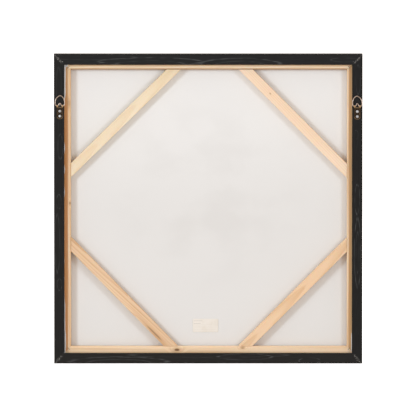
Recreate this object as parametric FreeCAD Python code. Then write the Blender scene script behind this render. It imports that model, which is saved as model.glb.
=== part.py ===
import FreeCAD, Part

import math
import os

# A stretched canvas in a floater frame, standing on its bottom rail.
# Millimetres, +Z up, +X to the right when the back is looked at, and the back faces -Y.
# The origin is the middle of the bottom rail's underside.

Vector = FreeCAD.Vector

# floater frame
frame_width = 638.0
frame_height = 642.0
frame_depth = 32.0
wall_thickness = 8.0
ledge_width = 21.5
ledge_thickness = 10.0
back_edge_round = 2.0
front_edge_round = 0.8
ledge_edge_round = 0.5

# canvas and stretcher
canvas_width = 610.0
canvas_height = 614.0
canvas_thickness = 0.6
canvas_shift_x = 1.5
canvas_shift_z = 1.5
pad_thickness = 0.8
margin_width = 9.0
bar_width = 19.0
bar_depth = 18.0
bar_back_round = 2.5
bar_edge_round = 0.8
bar_outer_round = 0.4
lip_width = 4.0
lip_slope = 2.0
lip_drop = 1.6
bevel_drop = 3.2

# corner braces: reach along the horizontal bar, then along the vertical bar
brace_width = 21.0
brace_thickness = 15.5
brace_edge_round = 0.9
brace_reach = {
    "top_left": (197.9, 194.4),
    "top_right": (194.4, 195.4),
    "bottom_left": (192.1, 197.1),
    "bottom_right": (195.1, 196.1),
}

# fasteners in the wood
v_nail_arm = 6.0
v_nail_thickness = 0.5
v_nail_height = 7.0
v_nail_half_angle = 30.0
v_nail_places = (6.0, 13.5)
joint_staple_crown = 7.0
joint_staple_wire = 0.9
joint_staple_leg = 8.0
joint_staple_sink = 0.5
joint_staple_places = (5.0, 13.0)
canvas_staple_crown = 10.0
canvas_staple_wire = 0.7
canvas_staple_leg = 6.0
canvas_staple_inset = 4.4
canvas_staple_spacing = 60.0
canvas_staple_end_gap = 30.0
brad_length = 30.0
brad_radius = 0.7
brad_head_radius = 1.2
brad_head_height = 0.8

# adhesive pads between ledge and canvas
pad_length = 32.0
pad_width = 4.0
pad_inset = 3.2

# paper label on the back of the canvas
label_width = 53.0
label_height = 28.0
label_thickness = 0.12
label_centre = (-5.6, 76.5)

# D-ring hangers: place of the hinge line's middle on each side
hanger_places = {"left": (-306.6, 535.9), "right": (308.3, 535.0)}
wire_radius = 1.0
wire_clearance = 0.05
ring_lean = {"left": 0.8, "right": -1.2}
strap_thickness = 0.8
strap_half_width = 6.9
strap_length = 27.9
top_leaf_margin = 1.1
eye_inner = 4.1
eye_outer = 6.8
notch_depth = 2.7
neck_length = 3.9
strap_screw_places = (11.2, 21.6)
dimple_radii = (3.7, 4.4, 5.3)
dimple_depth = 0.3
screw_radius = 1.6
screw_root_radius = 1.15
screw_length = 9.5
screw_tip_length = 2.2
screw_head_radius = 3.0
screw_head_height = 2.0
screw_head_rim = 0.5
screw_clearance = 0.1
thread_pitch = 1.3
recess_reach = 2.0
recess_half_width = 0.45
recess_start = 0.3
recess_depth = 1.5

# places worked out from the dimensions above
back_y = -frame_depth / 2
front_y = frame_depth / 2
ledge_y = back_y + ledge_thickness
margin_y = ledge_y + pad_thickness
bar_back_y = margin_y + canvas_thickness
bar_front_y = bar_back_y + bar_depth
canvas_front_y = bar_front_y + canvas_thickness
frame_middle_z = frame_height / 2
canvas_middle_z = frame_middle_z + canvas_shift_z
bar_outer_width = canvas_width - 2 * canvas_thickness
bar_outer_height = canvas_height - 2 * canvas_thickness
wire_y = back_y - strap_thickness - wire_radius - wire_clearance

# how a side made along X with its inside towards +Z is turned to its place
side_turn = {"bottom": 0.0, "top": 180.0, "left": 90.0, "right": -90.0}
corner_signs = {
    "top_left": (-1, 1),
    "top_right": (1, 1),
    "bottom_left": (-1, -1),
    "bottom_right": (1, -1),
}


def box(low, high):
    size = [b - a for a, b in zip(low, high)]
    return Part.makeBox(*size, Vector(*low))


def fuse_all(shapes):
    return shapes[0].multiFuse(shapes[1:]).removeSplitter()


def rounded_wire(corners):
    """A closed wire through (point, radius) corners, each rounded by a tangent arc."""
    edges = []
    starts = []
    ends = []
    count = len(corners)
    for i, (point, radius) in enumerate(corners):
        before = (corners[i - 1][0] - point).normalize()
        after = (corners[(i + 1) % count][0] - point).normalize()
        if radius == 0:
            starts.append(point)
            ends.append(point)
            edges.append(None)
            continue
        half = before.getAngle(after) / 2
        reach = radius / math.tan(half)
        middle = (before + after).normalize()
        nearest = point + middle * (radius / math.sin(half) - radius)
        starts.append(point + before * reach)
        ends.append(point + after * reach)
        edges.append(Part.Arc(starts[-1], nearest, ends[-1]).toShape())
    path = []
    for i in range(count):
        if edges[i] is not None:
            path.append(edges[i])
        following = starts[(i + 1) % count]
        if ends[i].distanceToPoint(following) > 1e-6:
            path.append(Part.LineSegment(ends[i], following).toShape())
    return Part.Wire(path)


def profile(corners):
    """A face in the YZ plane from (y, z, radius) corners."""
    return Part.Face(rounded_wire([(Vector(0, y, z), r) for y, z, r in corners]))


def mitred_side(section, length, reach):
    """The section swept along X, with both ends cut at 45 degrees."""
    run = section.translated(Vector(-length / 2, 0, 0)).extrude(Vector(length, 0, 0))
    half = length / 2
    outline = [(-half, 0), (half, 0), (half - reach, reach), (reach - half, reach)]
    points = [Vector(x, -frame_depth, z) for x, z in outline]
    keep = Part.Face(Part.makePolygon(points + points[:1])).extrude(Vector(0, 2 * frame_depth, 0))
    return run.common(keep)


def place_side(shape, side, width, height, centre):
    """Turns a side about Y and moves its outer face to the edge of a width by height rectangle."""
    placed = shape.copy()
    placed.rotate(Vector(0, 0, 0), Vector(0, 1, 0), side_turn[side])
    offset = {
        "bottom": Vector(0, 0, -height / 2),
        "top": Vector(0, 0, height / 2),
        "left": Vector(-width / 2, 0, 0),
        "right": Vector(width / 2, 0, 0),
    }[side]
    placed.translate(offset + centre)
    return placed


def side_length(side, width, height):
    return width if side in ("top", "bottom") else height


frame_centre = Vector(0, 0, frame_middle_z)
canvas_centre = Vector(canvas_shift_x, 0, canvas_middle_z)


def rail(side):
    section = profile([
        (back_y, 0, back_edge_round),
        (back_y, ledge_width, ledge_edge_round),
        (ledge_y, ledge_width, ledge_edge_round),
        (ledge_y, wall_thickness, 0),
        (front_y, wall_thickness, front_edge_round),
        (front_y, 0, front_edge_round),
    ])
    length = side_length(side, frame_width, frame_height)
    made = mitred_side(section, length, ledge_width + 1)
    return place_side(made, side, frame_width, frame_height, frame_centre)


def stretcher_bar(side):
    slope_y = bar_front_y - lip_drop
    inner_y = bar_front_y - lip_drop - bevel_drop
    section = profile([
        (bar_back_y, 0, bar_outer_round),
        (bar_back_y, bar_width, bar_back_round),
        (inner_y, bar_width, bar_edge_round),
        (slope_y, lip_width + lip_slope, bar_edge_round),
        (bar_front_y, lip_width, bar_edge_round),
        (bar_front_y, 0, bar_outer_round),
    ])
    length = side_length(side, bar_outer_width, bar_outer_height)
    made = mitred_side(section, length, bar_width + 1)
    return place_side(made, side, bar_outer_width, bar_outer_height, canvas_centre)


def at_corner(corner, along_x, along_z):
    """A point measured inwards from a corner of the space inside the stretcher bars."""
    sign_x, sign_z = corner_signs[corner]
    inner_x = bar_outer_width / 2 - bar_width
    inner_z = bar_outer_height / 2 - bar_width
    return (
        canvas_centre.x + sign_x * (inner_x - along_x),
        canvas_centre.z + sign_z * (inner_z - along_z),
    )


def brace_reaches(corner):
    """Near and far reach along the horizontal bar and along the vertical bar."""
    near_x, near_z = brace_reach[corner]
    grow = 1 + brace_width * math.hypot(1 / near_x, 1 / near_z)
    return near_x, near_z, near_x * grow, near_z * grow


def brace(corner):
    near_x, near_z, far_x, far_z = brace_reaches(corner)
    overrun = 1.5 * brace_width
    start = Vector((near_x + far_x) / 2, 0, 0)
    end = Vector(0, 0, (near_z + far_z) / 2)
    along = (end - start).normalize()
    across = Vector(along.z, 0, -along.x)
    half = brace_width / 2
    low, high = bar_back_y, bar_back_y + brace_thickness
    outline = [(-half, low), (half, low), (half, high), (-half, high)]
    origin = start - along * overrun
    corners = [(origin + across * a + Vector(0, y, 0), brace_edge_round) for a, y in outline]
    section = Part.Face(rounded_wire(corners))
    batten = section.extrude(along * ((end - start).Length + 2 * overrun))
    batten = batten.common(box((0, low - 1, 0), (far_x + 1, high + 1, far_z + 1)))
    sign_x, sign_z = corner_signs[corner]
    # measured from the inner corner towards the middle, then turned over to its own corner
    if sign_x > 0:
        batten = batten.mirror(Vector(0, 0, 0), Vector(1, 0, 0))
    if sign_z > 0:
        batten = batten.mirror(Vector(0, 0, 0), Vector(0, 0, 1))
    corner_x, corner_z = at_corner(corner, 0, 0)
    batten.translate(Vector(corner_x, 0, corner_z))
    return batten


def corner_turn(corner):
    """Degrees about Y that turn +X into the direction from a corner towards the middle."""
    sign_x, sign_z = corner_signs[corner]
    return math.degrees(math.atan2(sign_z, -sign_x))


def place_at_corner(shape, corner, point):
    """A shape made with +X pointing to the middle is turned and moved to a corner point."""
    placed = shape.copy()
    placed.rotate(Vector(0, 0, 0), Vector(0, 1, 0), corner_turn(corner))
    placed.translate(Vector(point[0], 0, point[1]))
    return placed


def v_nail():
    """A bent steel strip, its point at the origin and its arms opening towards +X."""
    half = v_nail_thickness / 2
    arms = []
    for turn in (v_nail_half_angle, -v_nail_half_angle):
        arm = box((-half, back_y, -half), (v_nail_arm, back_y + v_nail_height, half))
        arm.rotate(Vector(0, 0, 0), Vector(0, 1, 0), turn)
        arms.append(arm)
    return fuse_all(arms)


def v_nails(corner):
    sign_x, sign_z = corner_signs[corner]
    nails = []
    for inset in v_nail_places:
        x = sign_x * (frame_width / 2 - inset)
        z = frame_middle_z + sign_z * (frame_height / 2 - inset)
        nails.append(place_at_corner(v_nail(), corner, (x, z)))
    return nails


def staple(crown, wire, leg, crown_y):
    """A staple with its crown along Z and its legs driven towards +Y."""
    half = crown / 2
    body = box((-wire / 2, crown_y, -half), (wire / 2, crown_y + leg, half))
    inside = box((-wire, crown_y + wire, wire - half), (wire, crown_y + leg, half - wire))
    return body.cut(inside)


def joint_staples():
    """Staples across the mitres of the stretcher, sunk below its back, and the slots above them."""
    staples, slots = [], []
    crown_y = bar_back_y + joint_staple_sink
    half, wire = joint_staple_crown / 2, joint_staple_wire / 2
    for corner in corner_signs:
        for inset in joint_staple_places:
            point = at_corner(corner, -inset, -inset)
            made = staple(joint_staple_crown, joint_staple_wire, joint_staple_leg, crown_y)
            slot = box((-wire, bar_back_y - 1, -half), (wire, crown_y, half))
            staples.append(place_at_corner(made, corner, point))
            slots.append(place_at_corner(slot, corner, point))
    return staples, slots


def spread(length, spacing, end_gap):
    """Evenly spaced places along a side, centred, at about the spacing asked for."""
    count = int((length - 2 * end_gap) / spacing) + 1
    step = (length - 2 * end_gap) / (count - 1)
    return [-length / 2 + end_gap + i * step for i in range(count)]


def canvas_staples(side):
    """Staples through the turned-over margin, crowns along the side."""
    made = []
    crown_y = margin_y - canvas_staple_wire
    length = side_length(side, canvas_width, canvas_height)
    for x in spread(length, canvas_staple_spacing, canvas_staple_end_gap):
        one = staple(canvas_staple_crown, canvas_staple_wire, canvas_staple_leg, crown_y)
        one.rotate(Vector(0, 0, 0), Vector(0, 1, 0), 90)
        one.translate(Vector(x, 0, canvas_staple_inset))
        made.append(place_side(one, side, canvas_width, canvas_height, canvas_centre))
    return made


def adhesive_pads(side):
    """Pads between the frame's ledge and the canvas margin, between the staples."""
    made = []
    length = side_length(side, canvas_width, canvas_height)
    places = spread(length, canvas_staple_spacing, canvas_staple_end_gap)
    half, low = pad_length / 2, pad_inset - pad_width / 2
    for i in (1, len(places) // 2 - 1, len(places) - 3):
        x = (places[i] + places[i + 1]) / 2
        pad = box((x - half, ledge_y, low), (x + half, margin_y, low + pad_width))
        made.append(place_side(pad, side, canvas_width, canvas_height, canvas_centre))
    return made


def brads():
    """Brads driven through the bars, from outside, into the ends of the braces."""
    shank_y = bar_back_y + brace_thickness / 2
    shank = Part.makeCylinder(brad_radius, brad_length, Vector(0, shank_y, 0))
    head = Part.makeCylinder(brad_head_radius, brad_head_height, Vector(0, shank_y, 0))
    one = fuse_all([shank, head])
    made = []
    for corner, (sign_x, sign_z) in corner_signs.items():
        near_x, near_z, far_x, far_z = brace_reaches(corner)
        x = at_corner(corner, (near_x + far_x) / 2, 0)[0]
        z = at_corner(corner, 0, (near_z + far_z) / 2)[1]
        upright = one.copy()
        upright.rotate(Vector(0, 0, 0), Vector(0, 1, 0), 180 if sign_z > 0 else 0)
        upright.translate(Vector(x, 0, canvas_centre.z + sign_z * bar_outer_height / 2))
        level = one.copy()
        level.rotate(Vector(0, 0, 0), Vector(0, 1, 0), -90 * sign_x)
        level.translate(Vector(canvas_centre.x + sign_x * bar_outer_width / 2, 0, z))
        made += [upright, level]
    return made


def canvas_slab(inset, low_y, high_y):
    """A rectangle of the canvas's outline, smaller by the inset all round."""
    half_x, half_z = canvas_width / 2 - inset, canvas_height / 2 - inset
    return box(
        (canvas_centre.x - half_x, low_y, canvas_centre.z - half_z),
        (canvas_centre.x + half_x, high_y, canvas_centre.z + half_z),
    )


def canvas_face():
    return canvas_slab(0, bar_front_y, canvas_front_y)


def canvas_margin():
    """The canvas down the sides of the bars and turned over onto their backs."""
    rim = canvas_slab(0, margin_y, bar_front_y)
    rim = rim.cut(canvas_slab(canvas_thickness, bar_back_y, bar_front_y))
    return rim.cut(canvas_slab(margin_width, margin_y, bar_back_y))


def label():
    x, z = label_centre
    half_x, half_z = label_width / 2, label_height / 2
    return box(
        (x - half_x, bar_front_y - label_thickness, z - half_z),
        (x + half_x, bar_front_y, z + half_z),
    )


def leaf(margin, low_y, high_y):
    """One leaf of the strap: straight sides and a round end, from the notch down."""
    half = strap_half_width - margin
    end_z = -(strap_length - strap_half_width)
    slab = box((-half, low_y, end_z), (half, high_y, -notch_depth))
    end = Part.makeCylinder(half, high_y - low_y, Vector(0, low_y, end_z), Vector(0, 1, 0))
    return fuse_all([slab, end])


def strap_eye(side):
    """The folded eye that holds the wire, on one side of the notch."""
    outer = wire_radius + wire_clearance + strap_thickness
    low_x = eye_inner if side > 0 else -eye_outer
    width = eye_outer - eye_inner
    roll = Part.makeCylinder(outer, width, Vector(low_x, wire_y, 0), Vector(1, 0, 0))
    leaf_top = back_y - 2 * strap_thickness
    outline = [
        (back_y, 0),
        (back_y, -neck_length - 1),
        (leaf_top, -neck_length - 1),
        (leaf_top, -neck_length),
        (wire_y - outer * math.cos(math.radians(28)), -outer * math.sin(math.radians(28))),
        (wire_y, 0),
    ]
    points = [Vector(low_x, y, z) for y, z in outline]
    neck = Part.Face(Part.makePolygon(points + points[:1])).extrude(Vector(width, 0, 0))
    return fuse_all([roll, neck])


def strap(side):
    """A metal strip folded round the wire, its two leaves flat on the frame."""
    middle = back_y - strap_thickness
    bottom = leaf(0, middle, back_y)
    top = leaf(top_leaf_margin, back_y - 2 * strap_thickness, middle)
    made = fuse_all([bottom, top, strap_eye(-1), strap_eye(1)])
    bore_radius = wire_radius + wire_clearance
    bore_start = Vector(-strap_half_width, wire_y, 0)
    made = made.cut(
        Part.makeCylinder(bore_radius, 2 * strap_half_width, bore_start, Vector(1, 0, 0))
    )
    leaf_top = back_y - 2 * strap_thickness
    for place in strap_screw_places:
        made = made.cut(upright_hole(screw_radius + screw_clearance, leaf_top, back_y, place))
        made = made.cut(dimple(leaf_top, place))
    return on_hanger(made, side)


def upright_hole(radius, low_y, high_y, place):
    """A round hole along Y, at a screw's place below the hinge line."""
    return Part.makeCylinder(radius, high_y - low_y, Vector(0, low_y, -place), Vector(0, 1, 0))


def dimple(surface_y, place):
    """The pressed ring in the strap round a screw head."""
    inner, deepest, outer = dimple_radii
    points = [
        Vector(inner, surface_y, 0),
        Vector(deepest, surface_y + dimple_depth, 0),
        Vector(outer, surface_y, 0),
    ]
    section = Part.Face(Part.makePolygon(points + points[:1]))
    ring_cut = section.revolve(Vector(0, 0, 0), Vector(0, 1, 0), 360)
    return ring_cut.translated(Vector(0, 0, -place))


def ring(side):
    """The wire loop: a pointed arch whose foot dips into both eyes and rises between them."""
    half_outline = [
        (9.7, 15.9, 14.5),
        (9.7, 2.6, 1.5),
        (7.4, 0.0, 1.2),
        (3.3, 0.0, 1.2),
    ]
    tip = (ring_lean[side], 21.3, 3.0)
    rise = (0.0, 7.2, 1.5)
    right = [(x, z, r) for x, z, r in half_outline]
    left = [(-x, z, r) for x, z, r in reversed(half_outline)]
    corners = [tip] + right + [rise] + left
    path = rounded_wire([(Vector(x, wire_y, z), r) for x, z, r in corners])
    wire = sweep(path, wire_radius)
    return on_hanger(wire, side)


def sweep(path, radius):
    """A round wire along a closed path of lines and tangent arcs."""
    start = path.Edges[0]
    point = start.valueAt(start.FirstParameter)
    direction = start.tangentAt(start.FirstParameter)
    circle = Part.Wire(Part.makeCircle(radius, point, direction))
    made = path.makePipeShell([circle], True, False)
    expected = math.pi * radius * radius * path.Length
    print("ring wire: length %.2f, volume %.1f, expected %.1f" % (path.Length, made.Volume, expected))
    return made


def screw():
    """A round-head wood screw, its head's underside at y = 0 and its point towards +Y."""
    y = screw_length - screw_tip_length
    outline = [Vector(0, screw_length, 0), Vector(screw_root_radius, y, 0)]
    for _ in range(int(y / thread_pitch)):
        crest, foot = y - 0.5 * thread_pitch, y - 0.8 * thread_pitch
        y -= thread_pitch
        outline.append(Vector(screw_radius, crest, 0))
        outline.append(Vector(screw_root_radius, foot, 0))
        outline.append(Vector(screw_root_radius, y, 0))
    outline += [Vector(screw_root_radius, 0, 0), Vector(screw_head_radius, 0, 0)]
    edge = Vector(screw_head_radius, -screw_head_rim, 0)
    crown = Vector(0, -screw_head_height, 0)
    bulge = Vector(0.74 * screw_head_radius, -0.74 * screw_head_height, 0)
    lines = [Part.LineSegment(a, b).toShape() for a, b in zip(outline, outline[1:] + [edge])]
    lines.append(Part.Arc(edge, bulge, crown).toShape())
    lines.append(Part.LineSegment(crown, outline[0]).toShape())
    body = Part.Face(Part.Wire(lines)).revolve(Vector(0, 0, 0), Vector(0, 1, 0), 360)
    return body.cut(cross_recess())


def cross_recess():
    """The cross slot in a screw head, narrowing as it goes down."""
    top_y = -screw_head_height - recess_start
    long, short = recess_reach, recess_half_width
    corners = [(-long, -short), (long, -short), (long, short), (-long, short), (-long, -short)]
    top = Part.makePolygon([Vector(x, top_y, z) for x, z in corners])
    low = Part.makePolygon([Vector(x / 2, top_y + recess_depth, z / 2) for x, z in corners])
    blade = Part.makeLoft([top, low], True, True)
    crossing = blade.copy()
    crossing.rotate(Vector(0, 0, 0), Vector(0, 1, 0), 90)
    return blade.fuse(crossing)


def strap_screws(side):
    """Both screws of a strap, each turned to a slot angle of its own."""
    made = []
    turns = {"left": (20, 65), "right": (50, 5)}[side]
    for place, turn in zip(strap_screw_places, turns):
        one = screw()
        one.rotate(Vector(0, 0, 0), Vector(0, 1, 0), turn)
        one.translate(Vector(0, back_y - 2 * strap_thickness, -place))
        made.append(on_hanger(one, side))
    return made


def screw_holes(side):
    """Pilot holes in the frame, as wide as the threads."""
    depth = screw_length - 2 * strap_thickness
    return [
        on_hanger(upright_hole(screw_radius, back_y, back_y + depth, place), side)
        for place in strap_screw_places
    ]


def on_hanger(shape, side):
    x, z = hanger_places[side]
    placed = shape.copy()
    placed.translate(Vector(x, 0, z))
    return placed


def cut_all(shape, tools):
    near = [t for t in tools if shape.BoundBox.intersect(t.BoundBox)]
    return shape.cut(Part.makeCompound(near)) if near else shape


def build():
    nodes = {}
    nails = {corner: v_nails(corner) for corner in corner_signs}
    staples, slots = joint_staples()
    tacks = [t for side in side_turn for t in canvas_staples(side)]
    pins = brads()
    pads = [p for side in side_turn for p in adhesive_pads(side)]
    screws = {side: strap_screws(side) for side in hanger_places}
    holes = [h for side in hanger_places for h in screw_holes(side)]

    for side in side_turn:
        cutters = [n for group in nails.values() for n in group] + holes
        nodes["rail_" + side] = cut_all(rail(side), cutters)
        nodes["bar_" + side] = cut_all(stretcher_bar(side), staples + slots + tacks + pins)
    for corner in corner_signs:
        nodes["v_nails_" + corner] = Part.makeCompound(nails[corner])
        nodes["brace_" + corner] = cut_all(brace(corner), pins)
    nodes["bar_joint_staples"] = Part.makeCompound(staples)
    nodes["brace_brads"] = Part.makeCompound(pins)
    nodes["canvas_staples"] = Part.makeCompound(tacks)
    nodes["adhesive_pads"] = Part.makeCompound(pads)
    nodes["canvas_face"] = canvas_face()
    nodes["canvas_margin"] = cut_all(canvas_margin(), tacks)
    nodes["paper_label"] = label()
    for side in hanger_places:
        nodes["strap_" + side] = strap(side)
        nodes["ring_" + side] = ring(side)
        nodes["strap_screws_" + side] = Part.makeCompound(screws[side])
    return nodes


os.makedirs("parts", exist_ok=True)
for name, shape in build().items():
    shape.exportStep("parts/%s.step" % name)
    size = shape.optimalBoundingBox(True, False)
    print("%-22s %2d solids, valid %s, %9.1f mm3, %6.1f x %5.1f x %6.1f mm" % (
        name, len(shape.Solids), shape.isValid(), shape.Volume,
        size.XLength, size.YLength, size.ZLength,
    ))
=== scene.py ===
import math

import bmesh
import bpy
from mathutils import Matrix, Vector, noise


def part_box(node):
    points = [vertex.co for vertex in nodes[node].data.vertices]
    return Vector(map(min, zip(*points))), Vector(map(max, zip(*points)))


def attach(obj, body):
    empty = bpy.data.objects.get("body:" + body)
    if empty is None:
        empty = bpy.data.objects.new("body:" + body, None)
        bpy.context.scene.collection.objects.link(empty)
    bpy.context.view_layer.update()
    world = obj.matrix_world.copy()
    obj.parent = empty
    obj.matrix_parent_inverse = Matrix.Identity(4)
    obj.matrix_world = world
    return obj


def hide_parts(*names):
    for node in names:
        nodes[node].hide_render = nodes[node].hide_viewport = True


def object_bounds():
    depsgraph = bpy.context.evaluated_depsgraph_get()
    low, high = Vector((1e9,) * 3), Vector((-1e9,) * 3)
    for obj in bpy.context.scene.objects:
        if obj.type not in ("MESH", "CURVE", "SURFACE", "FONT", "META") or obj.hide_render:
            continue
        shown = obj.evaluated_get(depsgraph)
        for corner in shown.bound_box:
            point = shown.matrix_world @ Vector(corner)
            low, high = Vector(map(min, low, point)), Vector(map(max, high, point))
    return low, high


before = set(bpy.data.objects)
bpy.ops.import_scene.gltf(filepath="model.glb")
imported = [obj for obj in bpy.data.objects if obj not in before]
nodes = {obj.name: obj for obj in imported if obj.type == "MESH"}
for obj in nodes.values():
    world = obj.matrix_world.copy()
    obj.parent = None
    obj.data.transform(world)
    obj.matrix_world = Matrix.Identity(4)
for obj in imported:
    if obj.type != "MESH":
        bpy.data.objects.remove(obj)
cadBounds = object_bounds()
mm = 0.001
print("frame loaded:", len(nodes), "nodes")


# a socket that can be used in sums, in a shader tree or a geometry tree
class Signal:
    def __init__(self, tree, socket=None):
        self.tree = tree
        self.socket = socket

    # any node: its settings first, then the values or links of its sockets
    def make(self, kind, settings=None, inputs=None, output=0):
        made = self.tree.nodes.new(kind)
        for name, value in (settings or {}).items():
            setattr(made, name, value)
        for name, value in (inputs or {}).items():
            if isinstance(value, Signal):
                self.tree.links.new(value.socket, made.inputs[name])
            else:
                made.inputs[name].default_value = value
        return Signal(self.tree, made.outputs[output])

    def math(self, operation, first, second=0.0):
        return self.make("ShaderNodeMath", {"operation": operation}, {0: first, 1: second})

    def __add__(self, other):
        return self.math("ADD", self, other)

    def __radd__(self, other):
        return self.math("ADD", other, self)

    def __sub__(self, other):
        return self.math("SUBTRACT", self, other)

    def __rsub__(self, other):
        return self.math("SUBTRACT", other, self)

    def __mul__(self, other):
        return self.math("MULTIPLY", self, other)

    def __rmul__(self, other):
        return self.math("MULTIPLY", other, self)

    def __truediv__(self, other):
        return self.math("DIVIDE", self, other)

    def __abs__(self):
        return self.math("ABSOLUTE", self)


def parts(vector):
    made = vector.make("ShaderNodeSeparateXYZ", None, {0: vector})
    outputs = made.socket.node.outputs
    return [Signal(vector.tree, outputs[i]) for i in range(3)]


def joined(x, y, z):
    source = next(value for value in (x, y, z) if isinstance(value, Signal))
    return source.make("ShaderNodeCombineXYZ", None, {0: x, 1: y, 2: z})


def smooth(value, low, high):        # 0 at low, 1 at high, eased
    return value.make("ShaderNodeMapRange", {"interpolation_type": "SMOOTHSTEP"},
                      {"Value": value, "From Min": low, "From Max": high})


def largest(first, second):
    return first.math("MAXIMUM", first, second)


def root(value):
    return value.math("SQRT", value)


def fraction(value):
    return value.math("FRACT", value)


def sine(value):
    return value.math("SINE", value)


def cloud(vector, scale, detail=2.0, roughness=0.5):
    return vector.make("ShaderNodeTexNoise", None,
                       {"Vector": vector, "Scale": scale, "Detail": detail, "Roughness": roughness})


def stretched(vector, scale, shift=(0.0, 0.0, 0.0)):
    return vector.make("ShaderNodeMapping", None, {"Vector": vector, "Scale": scale, "Location": shift})


def tinted(factor, under, over):
    settings = {"data_type": "RGBA", "clamp_factor": True}
    return factor.make("ShaderNodeMix", settings, {0: factor, 6: colourOf(under), 7: colourOf(over)}, 2)


def colourOf(value):
    return value if isinstance(value, Signal) else (*value, 1.0)


def raised(height, strength, distance):
    inputs = {"Height": height, "Strength": strength, "Distance": distance}
    return height.make("ShaderNodeBump", None, inputs)


def newFinish(name, fixed):
    material = bpy.data.materials.new(name)
    material.use_nodes = True
    shader = material.node_tree.nodes["Principled BSDF"]
    for socket, value in fixed.items():
        shader.inputs[socket].default_value = value
    start = Signal(material.node_tree)
    return material, shader, start


def feed(shader, **varying):
    names = {"colour": "Base Color", "roughness": "Roughness", "metallic": "Metallic", "normal": "Normal"}
    for name, value in varying.items():
        shader.id_data.links.new(value.socket, shader.inputs[names[name]])


def objectPlace(start):
    return start.make("ShaderNodeTexCoord", None, None, "Object")


def paint(nodeName, material):
    slots = nodes[nodeName].material_slots
    for entry in slots:
        entry.material = material


# camera: a long lens from a little above, square to the back
cameraLook = {"elevation": 5.2, "distance": 24.0, "seenWidth": 0.8604, "sensor": 36.0,
              "aimX": -0.0004, "aimZ": 0.0029}


def makeCamera(look):
    low, high = cadBounds
    aim = Vector((look["aimX"], low.y, (low.z + high.z) / 2 + look["aimZ"]))
    tilt = math.radians(look["elevation"])
    away = Vector((0.0, -math.cos(tilt), math.sin(tilt)))
    data = bpy.data.cameras.new("camera")
    data.sensor_width = look["sensor"]
    data.lens = look["sensor"] * look["distance"] / look["seenWidth"]
    data.clip_end = 100.0
    camera = bpy.data.objects.new("camera", data)
    camera.location = aim + away * look["distance"]
    camera.rotation_mode = "QUATERNION"
    camera.rotation_quaternion = (-away).to_track_quat("-Z", "Y")
    bpy.context.scene.collection.objects.link(camera)
    bpy.context.scene.camera = camera


lightLook = {
    "target": (0.0, 0.0, 0.32),
    "left": {"place": (-2.9, -3.4, 1.35), "size": (0.95, 0.95), "power": 74.0, "colour": (0.82, 0.94, 1.05)},
    "right": {"place": (2.6, -3.4, 1.35), "size": (0.9, 0.9), "power": 39.0, "colour": (0.82, 0.94, 1.05)},
    "back": {"place": (0.0, 3.2, 1.1), "size": (3.6, 1.6), "power": 8.0, "colour": (1.0, 0.96, 0.94)},
    "ambient": 0.755,
    "ambientColour": (1.0, 0.90, 0.83),
}


def makeLights(look):
    target = Vector(look["target"])
    for side in ("left", "right", "back"):
        box = look[side]
        data = bpy.data.lights.new("softbox_" + side, "AREA")
        data.shape = "RECTANGLE"
        data.size, data.size_y = box["size"]
        data.energy = box["power"]
        data.color = box["colour"]
        light = bpy.data.objects.new("softbox_" + side, data)
        light.location = box["place"]
        light.rotation_mode = "QUATERNION"
        light.rotation_quaternion = (target - light.location).to_track_quat("-Z", "Y")
        bpy.context.scene.collection.objects.link(light)
    world = bpy.data.worlds.new("studio")
    world.use_nodes = True
    background = world.node_tree.nodes["Background"]
    background.inputs["Color"].default_value = (*look["ambientColour"], 1.0)
    background.inputs["Strength"].default_value = look["ambient"]
    bpy.context.scene.world = world


floorLook = {"radius": 30.0, "colour": (0.86, 0.86, 0.86), "glow": 0.76, "domeGlow": 1.0}


def glowing(name, colour, strength):
    fixed = {"Base Color": (*colour, 1.0), "Roughness": 0.9, "Specular IOR Level": 0.0,
             "Emission Color": (1.0, 1.0, 1.0, 1.0), "Emission Strength": strength}
    return newFinish(name, fixed)[0]


def makeStudio(look):
    floorMesh = bpy.data.meshes.new("studio_floor")
    shape = bmesh.new()
    bmesh.ops.create_circle(shape, cap_ends=True, segments=96, radius=look["radius"])
    shape.to_mesh(floorMesh)
    shape.free()
    floorMesh.materials.append(glowing("pale_floor", look["colour"], look["glow"]))
    domeMesh = bpy.data.meshes.new("studio_dome")
    shape = bmesh.new()
    bmesh.ops.create_uvsphere(shape, u_segments=64, v_segments=32, radius=look["radius"])
    shape.to_mesh(domeMesh)
    shape.free()
    domeMesh.materials.append(glowing("pale_dome", (0.0, 0.0, 0.0), look["domeGlow"]))
    for name, mesh in (("studio_floor", floorMesh), ("studio_dome", domeMesh)):
        stand = bpy.data.objects.new(name, mesh)
        bpy.context.scene.collection.objects.link(stand)
        # only the camera sees them, so they add no light from below or around
        stand.visible_diffuse = False
        stand.visible_glossy = False
        stand.visible_shadow = False
        stand.visible_transmission = False


makeCamera(cameraLook)
makeLights(lightLook)
makeStudio(floorLook)
bpy.context.scene.view_settings.view_transform = "Standard"
print("camera, lights and floor made")


# bare pine: growth rings round a heart beside the board, with fibres, flecks and knots, and bands of painted
# shade and painted highlight along some edges
pineCommon = {
    "ringGap": 0.0023,
    "ringContrast": 0.62,
    "lateWood": (0.3, 0.86, 0.93),      # where in a ring the dark wood starts, is full and stops
    "wobble": 0.0026,
    "bandFadeHeights": (0.50, 0.60),
    "fibreScale": (26.0, 900.0, 900.0),
    "fleckScale": (150.0, 2600.0, 2600.0),
    "roughness": 0.52,
    "bleed": 0.12,               # light that travels under the surface
    "bleedReach": 0.003,
}


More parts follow.
